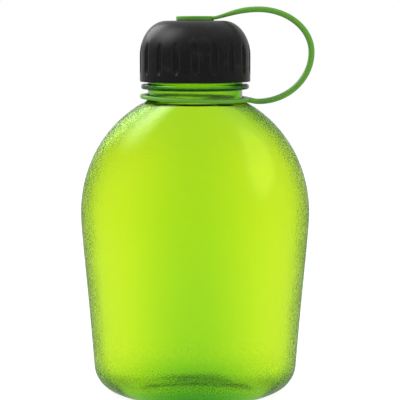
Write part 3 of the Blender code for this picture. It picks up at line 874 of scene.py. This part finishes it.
wear_and_edge_glints = make_handling_marks()
print("node group", wear_and_edge_glints.name, "has", len(wear_and_edge_glints.nodes), "nodes")

# %% [markdown]
# The black cap, the green tether and the grey seal are opaque plastics and rubber. Each takes the two
# groups with its own grain, gloss and colours. The bump is kept to hundredths of a millimetre: a mould's
# grain is felt, not seen.


# %% Opaque materials
def moulded(name, clean, rubbed_and_glint, grains, gloss, spread, depth, wear_and_glint):
    material = bpy.data.materials.new(name)
    material.use_nodes = True
    tree = material.node_tree
    shader = tree.nodes["Principled BSDF"]
    grain_values = {"Grains per metre": grains, "Gloss middle": gloss, "Gloss spread": spread}
    grain = new_node(tree, "ShaderNodeGroup", grain_values, node_tree=mould_grain)
    # The lighter colour is wear, and on the cap's proud edges also a painted glint.
    worn_values = {"Amount": wear_and_glint, "Clean colour": (*clean, 1.0), "Rubbed and glint colour": (*rubbed_and_glint, 1.0)}
    worn = new_node(tree, "ShaderNodeGroup", worn_values, node_tree=wear_and_edge_glints)
    bump = new_node(tree, "ShaderNodeBump", {"Strength": 1.0, "Distance": depth})
    join(
        tree,
        (worn.outputs["Color"], shader.inputs["Base Color"]),
        (grain.outputs["Roughness"], shader.inputs["Roughness"]),
        (grain.outputs["Height"], bump.inputs["Height"]),
        (bump.outputs["Normal"], shader.inputs["Normal"]),
    )
    return material


CAP_BLACK = (0.006, 0.0065, 0.006)
# The cap's light grey, laid on its proud flute edges with a high amount, is partly wear and partly a
# painted glint.
CAP_RUBBED_AND_GLINT = (0.110, 0.112, 0.105)
CAP_SPECULAR = 0.22  # soot-black plastic mirrors less than most
TETHER_GREEN = (0.115, 0.360, 0.026)
TETHER_RUBBED = (0.170, 0.390, 0.080)
SEAL_GREY = (0.42, 0.43, 0.41)
SEAL_RUBBED = (0.52, 0.53, 0.51)

cap_black = moulded(
    "cap_black", CAP_BLACK, CAP_RUBBED_AND_GLINT, grains=2200, gloss=0.29, spread=0.16, depth=0.05 * MM, wear_and_glint=0.8
)
tether_green = moulded(
    "tether_green",
    TETHER_GREEN,
    TETHER_RUBBED,
    grains=1900,
    gloss=0.36,
    spread=0.16,
    depth=0.03 * MM,
    wear_and_glint=0.5,
)
seal_grey = moulded(
    "seal_grey", SEAL_GREY, SEAL_RUBBED, grains=1500, gloss=0.60, spread=0.15, depth=0.02 * MM, wear_and_glint=0.4
)
cap_black.node_tree.nodes["Principled BSDF"].inputs["Specular IOR Level"].default_value = CAP_SPECULAR
for material, pieces in (
    (cap_black, (cap, stud)),
    (tether_green, (strap, neck_ring, eyelet)),
    (seal_grey, (seal,)),
):
    for piece in pieces:
        piece.data.materials.append(material)
    print(material.name, "is on", len(pieces), "pieces")

# %% [markdown]
# The bottle is clear, coloured right through. Its hue is a depth of plastic: thin walls look yellow, thick
# ones green, because red is taken up faster than green. A volume that absorbs does just that, so the shader
# itself is plain white glass. A green tint on the surface would be simpler, but would look the same in
# thick and thin places.

# %% Clear material: colour by depth
TAKEN_RED = 224.0  # how fast a metre of plastic takes up each colour
TAKEN_GREEN = 86.0
TAKEN_BLUE = 2000.0
ABSORB_DENSITY = 2000.0
PLASTIC_IOR = 1.5
SAMPLE_DEPTH = 5.0 * MM  # about two walls

clear_green = bpy.data.materials.new("clear_green")
clear_green.use_nodes = True
tree = clear_green.node_tree
shader = tree.nodes["Principled BSDF"]
shader.inputs["Base Color"].default_value = (1.0, 1.0, 1.0, 1.0)
shader.inputs["Transmission Weight"].default_value = 1.0
shader.inputs["IOR"].default_value = PLASTIC_IOR
passed = [1 - taken / ABSORB_DENSITY for taken in (TAKEN_RED, TAKEN_GREEN, TAKEN_BLUE)]
absorb = new_node(tree, "ShaderNodeVolumeAbsorption", {"Density": ABSORB_DENSITY, "Color": (*passed, 1.0)})
join(tree, (absorb.outputs["Volume"], tree.nodes["Material Output"].inputs["Volume"]))
bottle.data.materials.append(clear_green)
for hue, taken in (("red", TAKEN_RED), ("green", TAKEN_GREEN)):
    print(hue, "left after two walls:", round(math.exp(-taken * SAMPLE_DEPTH), 2))

# %% [markdown]
# The stipple is a pattern of small round pits. Smooth cells give the pits as a bump. The rims between the
# pits are rougher, as on a worn mould, which frosts them and keeps the pattern sharp where the light is
# bent. Both follow the two masks on the mesh, and a broad noise wears them unevenly.

# %% Clear material: stipple
STIPPLE_PER_METRE = 1050.0
STIPPLE_DEPTH = 0.32 * MM
STIPPLE_LEAST = 0.04  # share of that depth left where it is worn smooth
STIPPLE_FROST = 0.48  # how much rougher the rims between the pits are
RIM_RANGE = {"From Min": 0.45, "From Max": 0.60}  # distance from a pit's middle, in cells
WEAR_PER_METRE = 70.0
WEAR_RANGE = {"From Min": 0.35, "From Max": 0.65, "To Min": 0.60, "To Max": 1.20}

place = new_node(tree, "ShaderNodeTexCoord")
pits_mask = new_node(tree, "ShaderNodeAttribute", attribute_name="stippled")
frost_mask = new_node(tree, "ShaderNodeAttribute", attribute_name="frosted")
wear = new_node(tree, "ShaderNodeTexNoise", {"Scale": WEAR_PER_METRE, "Detail": 3.0})
kept = new_node(tree, "ShaderNodeMapRange", WEAR_RANGE)
cells = {"Scale": STIPPLE_PER_METRE, "Smoothness": 0.5}
stipple = new_node(tree, "ShaderNodeTexVoronoi", cells, feature="SMOOTH_F1")
pits = new_node(tree, "ShaderNodeMath", operation="MULTIPLY")
least = new_node(tree, "ShaderNodeMath", {1: STIPPLE_LEAST}, operation="MAXIMUM")
height = new_node(tree, "ShaderNodeMath", operation="MULTIPLY")
bump = new_node(tree, "ShaderNodeBump", {"Strength": 1.0, "Distance": STIPPLE_DEPTH})
join(
    tree,
    (place.outputs["Object"], wear.inputs["Vector"]),
    (place.outputs["Object"], stipple.inputs["Vector"]),
    (wear.outputs["Fac"], kept.inputs["Value"]),
    (kept.outputs["Result"], pits.inputs[0]),
    (pits_mask.outputs["Fac"], pits.inputs[1]),
    (pits.outputs[0], least.inputs[0]),
    (stipple.outputs["Distance"], height.inputs[0]),
    (least.outputs[0], height.inputs[1]),
    (height.outputs[0], bump.inputs["Height"]),
    (bump.outputs["Normal"], shader.inputs["Normal"]),
)

clear_gloss = {"Gloss middle": 0.11, "Gloss spread": 0.06}
gloss_grain = new_node(tree, "ShaderNodeGroup", clear_gloss, node_tree=mould_grain)
rims = new_node(tree, "ShaderNodeMapRange", RIM_RANGE, interpolation_type="SMOOTHSTEP")
unworn = new_node(tree, "ShaderNodeMath", operation="MULTIPLY")
frosted_rims = new_node(tree, "ShaderNodeMath", operation="MULTIPLY")
frost = new_node(tree, "ShaderNodeMath", {1: STIPPLE_FROST}, operation="MULTIPLY_ADD")
join(
    tree,
    (stipple.outputs["Distance"], rims.inputs["Value"]),
    (kept.outputs["Result"], unworn.inputs[0]),
    (frost_mask.outputs["Fac"], unworn.inputs[1]),
    (rims.outputs["Result"], frosted_rims.inputs[0]),
    (unworn.outputs[0], frosted_rims.inputs[1]),
    (frosted_rims.outputs[0], frost.inputs[0]),
    (gloss_grain.outputs["Roughness"], frost.inputs[2]),
    (frost.outputs[0], shader.inputs["Roughness"]),
)
pit_width = 1 / STIPPLE_PER_METRE
print("clear_green has", len(tree.nodes), "nodes; a pit is", round(pit_width / MM, 2), "mm wide")

# %% [markdown]
# The photograph has a white background all round. A white world that is seen only by the camera and through
# the clear plastic gives that without pouring more light on the object: other rays see a dimmer world.
# Gloss sees a studio: white overhead, a pale backdrop, and a dim room in front and at the sides, which
# keeps the cap black.


# %% World
def white_rays(tree):
    """The light path, and 1 for rays that come from the camera or through clear plastic."""
    path = new_node(tree, "ShaderNodeLightPath")
    white = new_node(tree, "ShaderNodeMath", operation="MAXIMUM")
    join(
        tree,
        (path.outputs["Is Camera Ray"], white.inputs[0]),
        (path.outputs["Is Transmission Ray"], white.inputs[1]),
    )
    return path, white.outputs[0]


SURROUND_LIGHT = 0.62
ROOM_GLOSS = 0.36  # what gloss shows of the room in front and at the sides
BACK_GLOSS = 0.70  # and of the backdrop
CEILING_GLOSS = 1.0
CEILING_RAMP = (0.35, 0.95)  # how steeply up a ray has to point
BACK_RAMP = (0.50, 1.0)  # and how straight back

world = bpy.data.worlds.new("studio")
world.use_nodes = True
bpy.context.scene.world = world
tree = world.node_tree
tree.nodes.clear()
path, white = white_rays(tree)
heading = new_node(tree, "ShaderNodeTexCoord")
split = new_node(tree, "ShaderNodeSeparateXYZ")
gloss = new_node(tree, "ShaderNodeMath", operation="MAXIMUM")
for slot, way, ramp, most in ((0, "Z", CEILING_RAMP, CEILING_GLOSS), (1, "Y", BACK_RAMP, BACK_GLOSS)):
    ramp_range = {"From Min": ramp[0], "From Max": ramp[1], "To Min": ROOM_GLOSS, "To Max": most}
    seen = new_node(tree, "ShaderNodeMapRange", ramp_range, interpolation_type="SMOOTHSTEP")
    join(tree, (split.outputs[way], seen.inputs["Value"]), (seen.outputs["Result"], gloss.inputs[slot]))
unseen = new_node(tree, "ShaderNodeMix", {"A": SURROUND_LIGHT})
strength = new_node(tree, "ShaderNodeMath", operation="MAXIMUM")
background = new_node(tree, "ShaderNodeBackground", {"Color": (1.0, 1.0, 1.0, 1.0)})
world_out = new_node(tree, "ShaderNodeOutputWorld")
join(
    tree,
    (heading.outputs["Generated"], split.inputs["Vector"]),
    (path.outputs["Is Glossy Ray"], unseen.inputs["Factor"]),
    (gloss.outputs[0], unseen.inputs["B"]),
    (white, strength.inputs[0]),
    (unseen.outputs["Result"], strength.inputs[1]),
    (strength.outputs[0], background.inputs["Strength"]),
    (background.outputs["Background"], world_out.inputs["Surface"]),
)
print("world", world.name, "has", len(tree.nodes), "nodes")

# %% [markdown]
# The floor is pale. Seen directly it glows up to white and keeps a faint shadow; for the light that it
# throws back it is a plain matte board. Its mirror image in the bottle is dimmer, and fades with distance
# into the dim room, so that no horizon is drawn across the clear plastic.

# %% Floor
FLOOR_SIZE = 3.0
FLOOR_LEVEL = -0.4 * MM  # a hair under the base, so that the two don't share a plane
FLOOR_GLOW = 0.90
FLOOR_ALBEDO = 0.25  # of the part that keeps the shadow
BOARD_ALBEDO = 0.80
FLOOR_GLOSS = 0.50  # what gloss shows of it near the bottle
DIM_START = 0.15  # from here it fades to the room
DIM_END = 0.80

half = FLOOR_SIZE / 2
corners = [(x, y, FLOOR_LEVEL) for x, y in ((-half, -half), (half, -half), (half, half), (-half, half))]
floor_mesh = bpy.data.meshes.new("floor")
floor_mesh.from_pydata(corners, [], [(0, 1, 2, 3)])
floor = bpy.data.objects.new("floor", floor_mesh)
bpy.context.scene.collection.objects.link(floor)

floor_white = bpy.data.materials.new("floor_white")
floor_white.use_nodes = True
floor_mesh.materials.append(floor_white)
tree = floor_white.node_tree
tree.nodes.clear()
path, white = white_rays(tree)
seen = new_node(tree, "ShaderNodeMath", operation="MAXIMUM")
mirrored = new_node(tree, "ShaderNodeMath", operation="SUBTRACT", use_clamp=True)
place = new_node(tree, "ShaderNodeTexCoord")
away = new_node(tree, "ShaderNodeVectorMath", operation="LENGTH")
dim_range = {"From Min": DIM_START, "From Max": DIM_END, "To Min": FLOOR_GLOSS, "To Max": ROOM_GLOSS}
dimmed = new_node(tree, "ShaderNodeMapRange", dim_range, interpolation_type="SMOOTHSTEP")
shown = new_node(tree, "ShaderNodeMix", {"A": FLOOR_GLOW})
glow = new_node(tree, "ShaderNodeEmission")
matte = new_node(tree, "ShaderNodeBsdfDiffuse", {"Color": (FLOOR_ALBEDO, FLOOR_ALBEDO, FLOOR_ALBEDO, 1.0)})
board = new_node(tree, "ShaderNodeBsdfDiffuse", {"Color": (BOARD_ALBEDO, BOARD_ALBEDO, BOARD_ALBEDO, 1.0)})
lit = new_node(tree, "ShaderNodeAddShader")
mirror_or_lit = new_node(tree, "ShaderNodeMixShader")
seen_or_board = new_node(tree, "ShaderNodeMixShader")
floor_out = new_node(tree, "ShaderNodeOutputMaterial")
join(
    tree,
    (white, seen.inputs[0]),
    (path.outputs["Is Glossy Ray"], seen.inputs[1]),
    (path.outputs["Is Glossy Ray"], mirrored.inputs[0]),
    (path.outputs["Is Transmission Ray"], mirrored.inputs[1]),
    (place.outputs["Object"], away.inputs[0]),
    (away.outputs["Value"], dimmed.inputs["Value"]),
    (mirrored.outputs[0], shown.inputs["Factor"]),
    (dimmed.outputs["Result"], shown.inputs["B"]),
    (shown.outputs["Result"], glow.inputs["Strength"]),
    (matte.outputs[0], lit.inputs[0]),
    (glow.outputs[0], lit.inputs[1]),
    (mirrored.outputs[0], mirror_or_lit.inputs[0]),
    (lit.outputs[0], mirror_or_lit.inputs[1]),
    (glow.outputs[0], mirror_or_lit.inputs[2]),
    (seen.outputs[0], seen_or_board.inputs[0]),
    (board.outputs[0], seen_or_board.inputs[1]),
    (mirror_or_lit.outputs[0], seen_or_board.inputs[2]),
    (seen_or_board.outputs[0], floor_out.inputs["Surface"]),
)
print("floor is", FLOOR_SIZE, "m wide, with", len(tree.nodes), "nodes")

# %% [markdown]
# Three soft lamps shape the pieces. A large soft box above and to the left leaves the sheen on the cap's
# dome and the shoulder; it fades to its rim, so that its mirror image has no edge. A weak fill at the right
# lifts the dark side and isn't mirrored. A small lamp behind on the left lights the shoulder's edge.


# %% Lamps
LAMP_AIM = (0, 0, 0.15)
LAMP_MIDDLE = (0.5, 0.5, 0.0)  # of a lamp's own plane, which runs from 0 to 1
LAMP_RIM = 0.5


def soft_lamp(name, place, size, power):
    data = bpy.data.lights.new(name, "AREA")
    data.shape = "DISK"
    data.size = size
    data.energy = power
    lamp = bpy.data.objects.new(name, data)
    lamp.location = place
    lamp.rotation_euler = (Vector(LAMP_AIM) - Vector(place)).to_track_quat("-Z", "Y").to_euler()
    bpy.context.scene.collection.objects.link(lamp)
    print(name, "gives", power, "W")
    return lamp


def fade_to_rim(lamp):
    """A soft box is brightest in its middle."""
    lamp.data.use_nodes = True
    tree = lamp.data.node_tree
    spot = new_node(tree, "ShaderNodeNewGeometry")
    away = new_node(tree, "ShaderNodeVectorMath", {1: LAMP_MIDDLE}, operation="DISTANCE")
    fade_range = {"From Max": LAMP_RIM, "To Min": 1.0, "To Max": 0.0}
    fade = new_node(tree, "ShaderNodeMapRange", fade_range, interpolation_type="SMOOTHSTEP")
    join(
        tree,
        (spot.outputs["Parametric"], away.inputs[0]),
        (away.outputs["Value"], fade.inputs["Value"]),
        (fade.outputs["Result"], tree.nodes["Emission"].inputs["Strength"]),
    )


key_lamp = soft_lamp("key_lamp", place=(-0.66, -0.08, 0.89), size=1.25, power=19.5)
fade_to_rim(key_lamp)
fill_lamp = soft_lamp("fill_lamp", place=(0.80, -0.30, 0.45), size=0.60, power=2.5)
fill_lamp.visible_glossy = False
soft_lamp("rim_lamp", place=(-0.60, 0.62, 0.70), size=0.60, power=2.6)
bpy.context.scene.view_settings.view_transform = "Standard"
